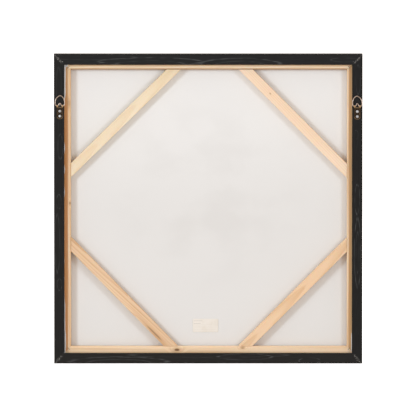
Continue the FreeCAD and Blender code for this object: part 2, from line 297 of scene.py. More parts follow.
def pineWood(name, look):
    look = {**pineCommon, **look}
    fixed = {"Subsurface Weight": look["bleed"], "Subsurface Radius": (1.0, 0.42, 0.16),
             "Subsurface Scale": look["bleedReach"], "Specular IOR Level": 0.35}
    material, shader, start = newFinish(name, fixed)
    place = objectPlace(start)
    turn = math.radians(look["turn"])
    grain = place.make("ShaderNodeMapping", None, {"Vector": place, "Rotation": (0.0, turn, 0.0)})
    along, depth, across = parts(grain)

    def turned(point):
        x, y, z = point
        return (x * math.cos(turn) + z * math.sin(turn), y, z * math.cos(turn) - x * math.sin(turn))

    middle = turned(look["middle"])
    heartAcross, heartDepth = look["heart"]
    slow = cloud(stretched(grain, (5.0, 30.0, 30.0), look["shift"]), 1.0, 2.0)
    lean = look["lean"]
    run = along - middle[0]
    offAcross = across - (middle[2] + heartAcross) - lean[0] * run + (slow - 0.5) * look["wobble"]
    offDepth = depth - (middle[1] + heartDepth) - lean[1] * run
    rings = root(offAcross * offAcross + offDepth * offDepth) / look["ringGap"]
    fibres = cloud(stretched(grain, look["fibreScale"], look["shift"]), 1.0, 3.0, 0.6)
    flecks = smooth(cloud(stretched(grain, look["fleckScale"], look["shift"]), 1.0, 1.0), 0.66, 0.78)
    knotMask = None
    rim = None
    for spot in look.get("knots", []):
        spotAlong, spotDepth, spotAcross = turned(spot["place"])
        a = (along - spotAlong) / spot["stretch"]
        c = across - spotAcross
        d = depth - spotDepth
        distance = root(a * a + c * c + d * d) / spot["radius"]
        rings = rings + smooth(distance, 5.0, 0.4) * spot["push"]
        inside = smooth(distance + (fibres - 0.5) * 0.8, 1.25, 0.7) * spot["dark"]
        halo = smooth(distance, 3.2, 0.8) * spot["halo"]
        knotMask = inside if knotMask is None else largest(knotMask, inside)
        rim = halo if rim is None else largest(rim, halo)
    saw = fraction(rings + (fibres - 0.5) * 0.25)
    strength = smooth(cloud(stretched(grain, (2.0, 160.0, 160.0), look["shift"]), 1.0, 1.0), 0.25, 0.75)
    lateFrom, lateFull, lateEnd = look["lateWood"]
    late = smooth(saw, lateFrom, lateFull) * smooth(saw, 1.0, lateEnd) * (0.35 + 0.65 * strength)
    drift = smooth(cloud(stretched(grain, (4.0, 24.0, 24.0), (3.1, 0.7, 1.9)), 1.0, 2.0), 0.3, 0.7)
    colour = tinted(drift, look["light"], look["pale"])
    colour = tinted(late * look["ringContrast"], colour, look["dark"])
    colour = tinted((fibres - 0.35) * look["fibreContrast"], colour, look["dark"])
    colour = tinted(flecks * look["fleckContrast"], colour, look["fleck"])
    # bands of painted shade and painted highlight along the board's edges, weaker higher up where fadeUp asks
    for paintedLightBand in look.get("paintedLightBands", []):
        edge = smooth(abs(across - middle[2] - paintedLightBand["from"]), paintedLightBand["fade"][1], paintedLightBand["fade"][0])
        edge = edge * (1.0 - paintedLightBand["fadeUp"] * smooth(parts(place)[2], *look["bandFadeHeights"]))
        colour = tinted(edge * paintedLightBand["strength"], colour, paintedLightBand["colour"])
    if knotMask is not None:
        colour = tinted(rim, colour, look["knotHalo"])
        colour = tinted(knotMask, colour, look["knotCore"])
    height = fibres * 0.6 - late * 0.35
    feed(shader, colour=colour, roughness=look["roughness"] + 0.16 * fibres,
         normal=raised(height, 0.35, 0.00015))
    return material


pineTones = {
    "knotCore": (0.17, 0.075, 0.03),
    "knotHalo": (0.52, 0.28, 0.12),
    "fleck": (0.42, 0.24, 0.11),
    "fibreContrast": 0.35,
    "fleckContrast": 0.35,
}
barTone = {"light": (0.85, 0.61, 0.38), "pale": (0.90, 0.685, 0.47), "dark": (0.62, 0.365, 0.17)}


def boxMiddle(nodeName):
    low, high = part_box(nodeName)
    return tuple((low + high) / 2)


def knot(x, z, radius, dark=0.85, stretch=1.7, push=1.6, halo=0.5, y=-4.6):
    return {"place": (x * mm, y * mm, z * mm), "radius": radius * mm, "stretch": stretch,
            "dark": dark, "push": push, "halo": halo}


# a band of painted light along a board's edge, dark for painted shade and pale for a painted highlight: where
# it starts across the board, how far it is full and where it ends
def paintedLightBand(edge, full, end, strength, colour, fadeUp=0.0):
    return {"from": edge, "fade": (full, end), "strength": strength, "fadeUp": fadeUp, "colour": colour}


barLook = {
    # the top bar's paler tone is painted light, for the overhead light on it; its bands are the ledge's
    # painted shadow along the outer edge and painted shade along the rounded lower edge
    "bar_top": {"turn": 0.0, "heart": (0.030, 0.055), "lean": (0.004, 0.012), "shift": (1.7, 4.0, 2.2),
                "light": (0.90, 0.69, 0.47), "pale": (0.94, 0.76, 0.56), "ringContrast": 0.4,
                "paintedLightBands": [paintedLightBand(0.0095, 0.0105, 0.0125, 0.5, (0.74, 0.42, 0.15)),
                              paintedLightBand(-0.0095, 0.0016, 0.0032, 1.0, (0.44, 0.24, 0.11))]},
    # the bottom bar's slightly paler tone is painted light from above; its band is painted shade along the
    # edge beside the ledge
    "bar_bottom": {"turn": 0.0, "heart": (-0.004, 0.032), "lean": (0.003, 0.004), "shift": (6.1, 0.4, 5.2),
                   "light": (0.87, 0.625, 0.385), "pale": (0.92, 0.70, 0.48), "ringContrast": 0.45,
                   "paintedLightBands": [paintedLightBand(-0.0095, 0.0064, 0.0088, 0.5, (0.58, 0.37, 0.18))],
                   "knots": [knot(-64.7, 27.5, 2.6, 0.9, 2.0), knot(-57.5, 38.0, 1.2, 0.7),
                             knot(71.2, 31.7, 1.6, 0.35), knot(-215.0, 34.2, 1.3, 0.75, y=2.0)]},
    # bands: the ledge's painted shadow along the outer edge, weaker higher up, and painted shade on the
    # rounded inner edge
    "bar_left": {"turn": 90.0, "heart": (0.018, 0.05), "lean": (0.002, 0.008), "shift": (2.9, 8.0, 0.2),
                 "knots": [knot(-286.0, 332.5, 1.4, 0.6), knot(-288.5, 540.0, 2.6, 0.14, 2.0, 0.8, 0.2)],
                 "paintedLightBands": [paintedLightBand(0.0095, 0.0114, 0.0134, 0.92, (0.63, 0.275, 0.09), 0.35),
                               paintedLightBand(-0.0095, 0.0022, 0.0048, 0.5, (0.70, 0.42, 0.20))]},
    # bands: the ledge's painted shadow along the outer edge, brown, with a paler golden strip of it right
    # beside the ledge
    "bar_right": {"turn": 90.0, "heart": (-0.016, 0.06), "lean": (-0.002, 0.006), "shift": (9.4, 1.0, 3.2),
                  "paintedLightBands": [paintedLightBand(-0.0095, 0.0138, 0.0158, 0.85, (0.62, 0.335, 0.135)),
                                paintedLightBand(-0.0095, 0.0106, 0.0118, 0.7, (0.58, 0.39, 0.20))]},
}
braceLook = {
    "brace_top_left": {"turn": 45.0, "heart": (0.012, 0.035), "lean": (0.006, 0.02), "shift": (0.3, 5.0, 7.7),
                       "light": (0.81, 0.665, 0.465), "pale": (0.86, 0.73, 0.54),
                       "dark": (0.70, 0.50, 0.27), "ringContrast": 0.4, "fleckContrast": 0.6},
    "brace_top_right": {"turn": -45.0, "heart": (-0.02, 0.04), "lean": (0.004, 0.02),
                        "shift": (5.3, 2.0, 1.7),
                        "light": (0.88, 0.67, 0.48), "pale": (0.92, 0.74, 0.57),
                        "dark": (0.70, 0.44, 0.25), "ringContrast": 0.4,
                        "knots": [knot(128.2, 560.0, 0.8, 0.35)]},
    "brace_bottom_left": {"turn": -45.0, "heart": (0.006, 0.03), "lean": (0.01, 0.012),
                          "shift": (8.8, 3.0, 4.7),
                          "light": (0.765, 0.525, 0.325), "pale": (0.82, 0.605, 0.405),
                          "dark": (0.54, 0.29, 0.12), "ringContrast": 0.7,
                          # band: a painted highlight along the lit rounded upper edge
                          "paintedLightBands": [paintedLightBand(0.0128, 0.0055, 0.0080, 0.6, (0.93, 0.74, 0.57))],
                          "knots": [knot(-112.0, 63.0, 1.6, 0.55, 14.0), knot(-160.0, 140.7, 1.3, 0.7)]},
    "brace_bottom_right": {"turn": 45.0, "heart": (-0.01, 0.04), "lean": (0.008, 0.016),
                           "shift": (4.2, 7.0, 9.7),
                           "light": (0.785, 0.53, 0.315), "pale": (0.835, 0.60, 0.39),
                           "dark": (0.64, 0.375, 0.175), "ringContrast": 0.55},
}


def finishPine():
    for group in (barLook, braceLook):
        for nodeName, look in group.items():
            full = {**pineTones, **barTone, **look, "middle": boxMiddle(nodeName)}
            paint(nodeName, pineWood("pine_" + nodeName, full))


finishPine()
print("pine bars and braces finished")


# black stained open-grained wood, with pale cathedral lines along each rail
blackLook = {
    "stain": (0.0050, 0.0050, 0.0052),
    "warmStain": (0.0066, 0.0058, 0.0046),
    "line": (0.066, 0.069, 0.069),
    "pore": (0.0022, 0.0022, 0.0022),
    "joint": (0.10, 0.10, 0.095),
    "worn": (0.24, 0.23, 0.21),
    # painted shade on the rounded outer edges
    "edge": (0.0024, 0.0021, 0.0019),
    "edgeReach": 0.0022,
    "lineWidth": 0.055,
    "wobble": 0.0022,
    "roughness": 0.46,
    "ringGap": 0.0036,
    "warmFade": (0.60, 0.22),    # heights between which the stain turns warmer
    # the filler's specks: how far from the joint, and how far in from the outer edge, they start and stop
    "speckReach": (0.0042, 0.0014),
    "speckOuter": (0.0015, 0.003),
    "speckInner": (0.019, 0.015),
    "jointReach": (0.0007, 0.0002),
}

# each ellipse: middle along the rail, middle across, half length, half width, in millimetres, and strength
railLook = {
    "rail_top": {"turn": 0.0, "shift": (0.5, 3.0, 1.0), "ellipses": [
        (-119.7, 627.0, 103.0, 8.5, 0.9), (-119.7, 622.0, 70.0, 7.0, 0.5), (66.0, 622.0, 83.0, 12.0, 0.8),
        (66.0, 616.0, 58.0, 12.0, 0.4), (284.0, 631.0, 31.0, 4.0, 0.7), (-240.0, 636.0, 90.0, 5.0, 0.5)]},
    "rail_bottom": {"turn": 0.0, "shift": (4.5, 1.0, 2.0), "ellipses": [
        (-185.0, 4.0, 101.0, 10.0, 0.8), (-185.0, 1.0, 66.0, 8.0, 0.5), (76.0, 14.0, 56.0, 6.0, 0.8),
        (210.0, 6.0, 22.0, 6.0, 0.8), (0.0, 18.0, 160.0, 5.0, 0.4)]},
    "rail_left": {"stain": (0.0036, 0.0034, 0.0028), "warmStain": (0.0040, 0.0036, 0.0026),
                  "turn": 90.0, "shift": (2.5, 6.0, 7.0), "ellipses": [
        (450.9, -306.0, 26.0, 5.0, 0.7), (336.5, -309.0, 15.0, 5.0, 0.8), (164.5, -308.0, 12.0, 5.0, 0.8),
        (250.0, -312.0, 60.0, 5.0, 0.5), (575.0, -309.0, 40.0, 5.0, 0.4)]},
    "rail_right": {"stain": (0.0030, 0.0028, 0.0025), "warmStain": (0.0034, 0.0031, 0.0025),
                   "turn": 90.0, "shift": (7.5, 2.0, 3.0), "ellipses": [
        (341.0, 308.0, 31.0, 5.0, 0.9), (231.0, 309.0, 71.0, 6.5, 0.9), (231.0, 309.0, 42.0, 3.2, 0.5),
        (476.0, 306.0, 9.0, 4.0, 0.7), (590.0, 310.0, 30.0, 5.0, 0.4)]},
}


def blackWood(name, look):
    look = {**blackLook, **look}
    fixed = {"Specular IOR Level": 0.24}
    material, shader, start = newFinish(name, fixed)
    place = objectPlace(start)
    x, unused, z = parts(place)
    turn = math.radians(look["turn"])
    grain = place.make("ShaderNodeMapping", None, {"Vector": place, "Rotation": (0.0, turn, 0.0)})
    along, unused, across = parts(grain)
    fibres = cloud(stretched(grain, (40.0, 1100.0, 1100.0), look["shift"]), 1.0, 3.0, 0.6)
    sway = cloud(stretched(grain, (14.0, 60.0, 60.0), look["shift"]), 1.0, 2.0)
    swayed = across + (sway - 0.5) * look["wobble"]
    broken = smooth(cloud(stretched(grain, (38.0, 500.0, 500.0), look["shift"]), 1.0, 1.0), 0.36, 0.6)
    side = -1.0 if look["turn"] else 1.0     # a rail turned upright has its across axis along -X
    lines = None
    for middleAlong, middleAcross, halfLength, halfWidth, strength in look["ellipses"]:
        a = (along - middleAlong * mm) / (halfLength * mm)
        c = (swayed - side * middleAcross * mm) / (halfWidth * mm)
        off = abs(root(a * a + c * c) - 1.0)
        line = smooth(off, look["lineWidth"] * 1.8, look["lineWidth"] * 0.3) * strength
        lines = line if lines is None else largest(lines, line)
    rings = fraction(swayed / look["ringGap"] + sway * 3.0)
    faint = smooth(rings, 0.72, 0.9) * smooth(rings, 1.0, 0.94) * 0.14
    lines = largest(lines, faint) * broken
    pores = smooth(cloud(stretched(grain, (70.0, 1700.0, 1700.0), look["shift"]), 1.0, 1.0), 0.62, 0.72)
    # filler showing in specks along each mitre
    offJoint = abs(abs(x) - abs(z - look["middleZ"]) + look["squareOff"])
    inset = look["halfWidth"] - abs(x)
    specks = smooth(cloud(stretched(place, (520.0, 520.0, 520.0)), 1.0, 1.0), 0.54, 0.62)
    specks = specks * smooth(offJoint, *look["speckReach"])
    specks = specks * smooth(inset, *look["speckOuter"]) * smooth(inset, *look["speckInner"])
    outline = smooth(largest(abs(x) - look["halfWidth"], abs(z - look["middleZ"]) - look["halfHeight"]),
                     -look["edgeReach"], -look["edgeReach"] * 0.35)
    warm = smooth(z, *look["warmFade"])
    colour = tinted(warm, look["stain"], look["warmStain"])
    colour = tinted((fibres - 0.42) * 0.15, colour, look["line"])
    colour = tinted(pores * 0.8, colour, look["pore"])
    colour = tinted(lines, colour, look["line"])
    # painted shade along the rounded outer edges
    colour = tinted(outline * 0.8, colour, look["edge"])
    seam = smooth(offJoint, *look["jointReach"]) * smooth(fibres, 0.35, 0.6)
    colour = tinted(seam * 0.2, colour, look["joint"])
    colour = tinted(specks * 0.8, colour, look["worn"])
    height = (fibres * 0.5 - pores * 0.9 - lines * 0.3) * (1.0 - outline)
    feed(shader, colour=colour, roughness=look["roughness"] + 0.2 * fibres + outline * 0.25,
         normal=raised(height, 0.3, 0.0001))
    return material


def finishRails():
    low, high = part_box("rail_left")
    shape = {"middleZ": (low.z + high.z) / 2, "halfHeight": (high.z - low.z) / 2, "halfWidth": -low.x}
    shape["squareOff"] = shape["halfHeight"] - shape["halfWidth"]
    for nodeName, look in railLook.items():
        paint(nodeName, blackWood("black_" + nodeName, {**look, **shape}))


finishRails()
print("black rails finished")


# primed cotton canvas: its weave follows the cloth, from the cloth's own map in metres
canvasLook = {
    "across": 110,               # squares along each side of the face
    "bend": 0.0007,              # bend of the cloth at the edges of the bars
    "back": (0.815, 0.805, 0.785),
    "shade": (0.716, 0.702, 0.678),
    "front": (0.84, 0.825, 0.80),
    "thread": (0.62, 0.58, 0.53),
    "frontFrom": (0.0134, 0.0139),
    "blotchCut": (0.42, 0.66),
    "blotchHeight": 0.36,
    "blotchReach": (0.25, 0.08),
    # painted shade: the cloth darker towards the bottom, between these heights
    "lowerShadeFade": (0.60, 0.26),     # heights between which the cloth gets a little darker
    "toneShares": {"drift": 0.12, "blotchAndShade": 0.34, "low": 0.62},
    "threadGap": 0.00055,
    "sideSteps": 4,
    "marginSteps": 5,
    "lift": 0.00035,
    "seed": 11,
    # how far each margin reaches in from the cloth's edge, at places along the side, in millimetres
    "reach": {
        "left": [(18, 7.6), (26, 8.6), (50, 8.5), (62, 7.2), (120, 7.0), (140, 5.6), (345, 5.6),
                 (356, 6.9), (368, 5.8), (392, 5.6), (403, 6.9), (414, 5.6), (438, 5.6), (450, 7.1),
                 (464, 5.6), (541, 5.5), (551, 6.2), (562, 8.2), (572, 8.5), (586, 7.9), (600, 8.5),
                 (628, 8.8)],
        "right": [(27, 10.0), (50, 10.0), (60, 8.0), (628, 8.0)],
        "top": [(-300, 7.4), (300, 7.4)],
        "bottom": [(-300, 5.1), (300, 5.1)],
    },
    # folded corners: how far each fold reaches along both sides
    "folds": {(-1, 1): 15.6, (1, 1): 7.4, (-1, -1): 8.5, (1, -1): 9.5},
}


def canvasCloth(look):
    fixed = {"Roughness": 0.86, "Specular IOR Level": 0.18, "Sheen Weight": 0.08, "Sheen Roughness": 0.5}
    material, shader, start = newFinish("primed_canvas", fixed)
    cloth = start.make("ShaderNodeTexCoord", None, None, "UV")
    u, v, unused = parts(cloth)
    place = objectPlace(start)
    x, y, z = parts(place)
    turns = math.pi / look["threadGap"]
    slub = cloud(stretched(cloth, (260.0, 1900.0, 1.0)), 1.0, 2.0)
    slubAcross = cloud(stretched(cloth, (1900.0, 260.0, 1.0)), 1.0, 2.0)
    warp = sine((u + (slub - 0.5) * 0.00012) * turns)
    weft = sine((v + (slubAcross - 0.5) * 0.00012) * turns)
    over = smooth(warp * weft, -0.15, 0.15)
    weave = abs(warp) * over + abs(weft) * (1.0 - over)
    isFront = smooth(y, *look["frontFrom"])
    # faint uneven blotches, denser in the middle: partly uneven tone of the cloth, partly painted shade that
    # darkens the middle
    blotchAndShade = cloud(stretched(place, (9.0, 1.0, 12.0), (2.3, 0.0, 5.1)), 1.0, 3.0, 0.45)
    above = z - look["blotchHeight"]
    offMiddle = root(x * x + above * above)
    blotchAndShade = smooth(blotchAndShade, *look["blotchCut"]) * smooth(offMiddle, *look["blotchReach"])
    drift = smooth(cloud(place, 3.0, 2.0), 0.3, 0.7)
    # painted shade, darker towards the bottom
    low = smooth(z, *look["lowerShadeFade"])
    share = look["toneShares"]
    tone = drift * share["drift"] + blotchAndShade * share["blotchAndShade"] + low * share["low"]
    colour = tinted(tone, look["back"], look["shade"])
    colour = tinted(isFront, colour, look["front"])
    colour = tinted((1.0 - weave) * 0.05 + (slub - 0.4) * 0.06, colour, look["thread"])
    height = weave * (1.0 - 0.55 * isFront)
    feed(shader, colour=colour, normal=raised(height, 0.35, 0.00009))
    return material


def spacedFrom(half, count):             # places along a side, closer together near the corners
    close = [0.0, 0.0005, 0.0012, 0.0025, 0.0045]
    inner = [close[-1] + (2 * half - 2 * close[-1]) * i / count for i in range(1, count)]
    ends = [2 * half - step for step in reversed(close)]
    return [place - half for place in close + inner + ends]


def marginReach(side, place, look):
    stops = look["reach"][side]
    reach = stops[0][1] if place < stops[0][0] else stops[-1][1]
    for (low, first), (high, last) in zip(stops, stops[1:]):
        if low <= place <= high:
            share = (place - low) / (high - low)
            reach = first + (last - first) * share * share * (3.0 - 2.0 * share)
    ripple = noise.noise(Vector((place * 0.06, len(stops), look["seed"])))
    fine = noise.noise(Vector((place * 0.33, len(stops) + 5.0, look["seed"])))
    return (reach + 0.45 * ripple + 0.25 * fine) * mm


def canvasPoints():
    faceLow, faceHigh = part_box("canvas_face")
    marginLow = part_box("canvas_margin")[0]
    thick = faceHigh.y - faceLow.y
    middle = (faceLow + faceHigh) / 2
    halfX = (faceHigh.x - faceLow.x - thick) / 2
    halfZ = (faceHigh.z - faceLow.z - thick) / 2
    frontY = faceHigh.y - thick / 2
    backY = marginLow.y + thick / 2
    return middle, halfX, halfZ, frontY, backY, thick


def makeCanvas(look, material):
    middle, halfX, halfZ, frontY, backY, thick = canvasPoints()
    shape = bmesh.new()
    clothMap = shape.loops.layers.uv.new("cloth")
    flatPlace = {}
    bend = look["bend"]
    insideX, insideZ = halfX - bend, halfZ - bend
    xs = spacedFrom(insideX, look["across"])
    zs = spacedFrom(insideZ, look["across"])

    def point(x, y, z, u, v):
        made = shape.verts.new((middle.x + x, y, middle.z + z))
        flatPlace[made] = (u, v)
        return made

    # the face
    grid = [[point(x, frontY, z, x, z) for x in xs] for z in zs]
    for row, above in zip(grid, grid[1:]):
        for i in range(len(xs) - 1):
            shape.faces.new((row[i], above[i], above[i + 1], row[i + 1]))
    # round the face's edge: bottom, right, top, left
    edge = [(v, "bottom") for v in grid[0][:-1]]
    edge += [(row[-1], "right") for row in grid[:-1]]
    edge += [(v, "top") for v in reversed(grid[-1][1:])]
    edge += [(row[0], "left") for row in reversed(grid[1:])]
    starts = [(v.co.x - middle.x, v.co.z - middle.z) for v, side in edge]
    sides = [side for v, side in edge]
    steps = edgeSteps(frontY, backY, look)
    ring = [v for v, side in edge]
    for outward, y, cloth, share in steps:
        following = []
        for (x, z), side in zip(starts, sides):
            px, pz, out = x, z, outward
            lift = 0.0
            if share is not None:
                place = (middle.z + z if side in ("left", "right") else middle.x + x) / mm
                reach = marginReach(side, place, look)
                out = -(reach - bend) * share
                wave = noise.noise(Vector((place * 0.02, 3.0, 1.0)))
                lift = look["lift"] * share * share * (0.5 + 0.5 * wave)
            growX = (insideX + out) / insideX
            growZ = (insideZ + out) / insideZ
            run = cloth if share is None else cloth + (bend - out)
            normalX, normalZ = {"bottom": (0, -1), "right": (1, 0), "top": (0, 1), "left": (-1, 0)}[side]
            following.append(point(px * growX, y - lift, pz * growZ, px + normalX * run, pz + normalZ * run))
        count = len(ring)
        for i in range(count):
            j = (i + 1) % count
            shape.faces.new((ring[i], ring[j], following[j], following[i]))
        ring = following
    addFolds(look, point, shape, halfX, halfZ, backY, thick)
    for face in shape.faces:
        for loop in face.loops:
            loop[clothMap].uv = flatPlace[loop.vert]
        face.smooth = True
    mesh = bpy.data.meshes.new("canvas")
    shape.normal_update()
    shape.to_mesh(mesh)
    shape.free()
    mesh.materials.append(material)
    canvas = bpy.data.objects.new("canvas", mesh)
    bpy.context.scene.collection.objects.link(canvas)
    wall = canvas.modifiers.new("thickness", "SOLIDIFY")
    wall.thickness = thick
    wall.offset = 0.0
    return canvas


def edgeSteps(frontY, backY, look):
    # each step: outward from the face's flat part, depth, cloth used so far, and share of the margin
    bend = look["bend"]
    steps = []
    for i in (1, 2, 3, 4):
        angle = math.radians(22.5 * i)
        steps.append((bend * math.sin(angle), frontY - bend * (1 - math.cos(angle)), bend * angle, None))
    used = bend * math.pi / 2
    high, low = frontY - bend, backY + bend
    for i in range(1, look["sideSteps"] + 1):
        run = (high - low) * i / look["sideSteps"]
        steps.append((bend, high - run, used + run, None))
    used += high - low
    for i in (1, 2, 3, 4):
        angle = math.radians(22.5 * i)
        steps.append((bend * math.cos(angle), low - bend * math.sin(angle), used + bend * angle, None))
    used += bend * math.pi / 2
    for i in range(1, look["marginSteps"] + 1):
        steps.append((0.0, backY, used, i / look["marginSteps"]))
    return steps


def addFolds(look, point, shape, halfX, halfZ, backY, thick):
    # a pleat of cloth folded over at each corner, lying on the margins
    count = 6
    for (signX, signZ), reach in look["folds"].items():
        reach *= mm
        rows = []
        for i in range(count + 1):
            row = []
            for j in range(count + 1):
                a, b = i / count, j / count
                inX = 0.0006 + (reach - 0.0006) * a * (1.0 - 0.22 * b * b)
                inZ = 0.0006 + (reach - 0.0006) * b * (1.0 - 0.18 * a * a)
                wave = 0.0003 * noise.noise(Vector((a * 3.0 + signX, b * 3.0 + signZ, 7.0)))
                y = backY - thick - 0.00012 + min(wave, 0.0)
                x = signX * (halfX - inX)
                z = signZ * (halfZ - inZ)
                row.append(point(x, y, z, (inX - inZ) * 0.7071, (inX + inZ) * 0.7071))
            rows.append(row)
        for row, above in zip(rows, rows[1:]):
            for j in range(count):
                quad = (row[j], row[j + 1], above[j + 1], above[j])
                shape.faces.new(quad if signX * signZ < 0 else quad[::-1])


canvasMaterial = canvasCloth(canvasLook)
canvas = makeCanvas(canvasLook, canvasMaterial)
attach(canvas, "frame")
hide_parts("canvas_face", "canvas_margin")
print("canvas stretched:", len(canvas.data.polygons), "faces")


# plain metal, foam and paper finishes
def metalFinish(name, look):
    fixed = {"Metallic": 1.0}
    material, shader, start = newFinish(name, fixed)
    place = objectPlace(start)
    fine = cloud(stretched(place, (900.0, 900.0, 900.0)), 1.0, 3.0, 0.6)
    broad = smooth(cloud(stretched(place, (160.0, 160.0, 160.0)), 1.0, 2.0), 0.35, 0.68)
    colour = tinted(broad * look["patch"], look["bright"], look["dull"])
    feed(shader, colour=colour, roughness=look["roughness"] + 0.2 * fine,
         normal=raised(fine, 0.15, 0.00006))
    return material


metalLook = {
    "ring": {"bright": (0.64, 0.51, 0.42), "dull": (0.29, 0.215, 0.165), "roughness": 0.24, "patch": 0.7},
    "zinc": {"bright": (0.62, 0.62, 0.62), "dull": (0.42, 0.42, 0.43), "roughness": 0.34, "patch": 0.5},
    "steel": {"bright": (0.34, 0.32, 0.29), "dull": (0.15, 0.14, 0.12), "roughness": 0.38, "patch": 0.9},
}

strapLook = {
    "dark": (0.050, 0.035, 0.023),
    "mid": (0.085, 0.058, 0.036),
    "bright": (0.62, 0.42, 0.22),
    "eyeReach": 0.0030,
    "roughness": 0.34,
    # painted shade in a ring round each screw, between these radii, in the dent colour
    "dimple": (0.0034, 0.0053),
    # painted highlight on the lower leaf's end, from this far below the hinge
    "endHighlight": 0.0215,
    "dentShade": (0.02, 0.014, 0.01),
    "screwDrops": (0.0112, 0.0216),     # the screws, below the hinge
    "wireRadius": 0.001,
    "leafDepth": 0.0012,
}


def strapMetal(name, look, hinge, leafY):
    material, shader, start = newFinish(name, {"Metallic": 1.0})
    place = objectPlace(start)
    x, y, z = parts(place)
    fine = cloud(stretched(place, (800.0, 800.0, 800.0)), 1.0, 3.0, 0.6)
    broad = smooth(cloud(stretched(place, (210.0, 210.0, 210.0), (1.0, 2.0, 3.0)), 1.0, 2.0), 0.35, 0.68)
    down = hinge.z - z
    # the eyes: worn brassy plating and a painted highlight
    eyeWearAndHighlight = smooth(down, look["eyeReach"] * 1.3, look["eyeReach"] * 0.7)
    lowerLeaf = smooth(y, leafY - 0.0001, leafY + 0.0001)
    # painted shade round each screw's pressed dimple
    dimple = None
    inner, outer = look["dimple"]
    for drop in look["screwDrops"]:
        a = x - hinge.x
        c = down - drop
        distance = root(a * a + c * c)
        pressed = smooth(distance, inner - 0.0003, inner + 0.0003) * smooth(distance, outer, outer - 0.0008)
        dimple = pressed if dimple is None else largest(dimple, pressed)
    colour = tinted(broad, look["dark"], look["mid"])
    colour = tinted(dimple * 0.8, colour, look["dentShade"])
    # painted highlight on the edge of the lower leaf's rounded end
    endHighlight = lowerLeaf * smooth(down, look["endHighlight"], look["endHighlight"] + 0.003)
    colour = tinted(endHighlight * 0.22, colour, look["bright"])
    colour = tinted(eyeWearAndHighlight, colour, look["bright"])
    feed(shader, colour=colour, roughness=look["roughness"] + 0.22 * fine,
         normal=raised(fine, 0.2, 0.00007))
    return material


foamLook = {"pale": (0.74, 0.73, 0.70), "dull": (0.60, 0.59, 0.56), "cellScale": 1600.0}


def foamFinish(look):
    material, shader, start = newFinish("white_foam", {"Roughness": 0.9, "Specular IOR Level": 0.2})
    place = objectPlace(start)
    cells = place.make("ShaderNodeTexVoronoi", None, {"Vector": place, "Scale": look["cellScale"]})
    tone = cloud(place, 90.0, 2.0)
    colour = tinted(tone, look["pale"], look["dull"])
    feed(shader, colour=colour, normal=raised(cells, 0.4, 0.0001))
    return material


# nails partly hidden by the black stain brushed over them
def stainedSteel(look):
    material, shader, start = newFinish("stained_steel", {})
    place = objectPlace(start)
    bare = smooth(cloud(stretched(place, (430.0, 430.0, 430.0), (3.0, 1.0, 2.0)), 1.0, 2.0), 0.50, 0.60)
    fine = cloud(stretched(place, (900.0, 900.0, 900.0)), 1.0, 3.0, 0.6)
    colour = tinted(bare, look["stain"], look["bare"])
    feed(shader, colour=colour, metallic=bare * 0.8, roughness=look["roughness"] + 0.2 * fine,
         normal=raised(fine, 0.15, 0.00006))
    return material


stainedLook = {"stain": (0.006, 0.006, 0.006), "bare": (0.34, 0.32, 0.30), "roughness": 0.45}
ringMetal = metalFinish("antique_nickel", metalLook["ring"])
nailMetal = stainedSteel(stainedLook)
steel = metalFinish("galvanised_steel", metalLook["steel"])
zinc = metalFinish("bright_zinc", metalLook["zinc"])
for side in ("left", "right"):
    paint("ring_" + side, ringMetal)
    strapLow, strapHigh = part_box("strap_" + side)
    ringLow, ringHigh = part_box("ring_" + side)
    hinge = Vector(((strapLow.x + strapHigh.x) / 2, (ringLow.y + ringHigh.y) / 2,
                    ringLow.z + strapLook["wireRadius"]))
    bronze = strapMetal("strap_bronze_" + side, strapLook, hinge, strapHigh.y - strapLook["leafDepth"])
    paint("strap_" + side, bronze)
for nodeName in nodes:
    if nodeName in ("bar_joint_staples", "brace_brads"):
        paint(nodeName, steel)
    if nodeName.startswith("v_nails"):
        paint(nodeName, nailMetal)
paint("adhesive_pads", foamFinish(foamLook))
print("metal and foam finished")


# paper label with rounded corners, pressed on by hand so its edge lifts a little
labelLook = {
    "corner": 0.0018,
    "steps": 28,
    "lift": 0.00022,
    "paper": (0.81, 0.76, 0.69),
    "shade": (0.74, 0.68, 0.59),
    # printed bars: left, right and height from the label's middle, half height, in millimetres, and ink
    "bars": [(-24.0, -6.5, 9.6, 0.55, 0.34), (-24.4, -10.0, 3.7, 0.55, 0.38),
             (-10.2, 14.5, 1.4, 0.22, 0.16), (-24.5, 25.0, -3.4, 0.22, 0.16),
             (-24.5, 23.0, -8.4, 0.22, 0.16), (-19.8, -9.0, -1.0, 0.30, 0.12)],
    "ink": (0.36, 0.33, 0.30),
}


def labelPaper(look, middle):
    material, shader, start = newFinish("cream_paper", {"Roughness": 0.72, "Specular IOR Level": 0.3})
    place = objectPlace(start)
    x, unused, z = parts(place)
    right = x - middle.x
    up = z - middle.z
    pulp = cloud(stretched(place, (1400.0, 1400.0, 1400.0)), 1.0, 3.0)
    stain = smooth(cloud(stretched(place, (60.0, 60.0, 60.0)), 1.0, 2.0), 0.4, 0.7)
    colour = tinted(stain * 0.6, look["paper"], look["shade"])
    colour = tinted((pulp - 0.5) * 0.35, colour, look["shade"])
    printed = None
    for left, rightEnd, height, half, ink in look["bars"]:
        inside = smooth(right, left * mm - 0.0001, left * mm + 0.0001)
        inside = inside * smooth(right, rightEnd * mm + 0.0001, rightEnd * mm - 0.0001)
        inside = inside * smooth(abs(up - height * mm), half * mm + 0.0001, half * mm - 0.0001) * ink
        printed = inside if printed is None else largest(printed, inside)
    colour = tinted(printed * (0.75 + 0.5 * pulp), colour, look["ink"])
    feed(shader, colour=colour, normal=raised(pulp, 0.2, 0.00004))
    return material


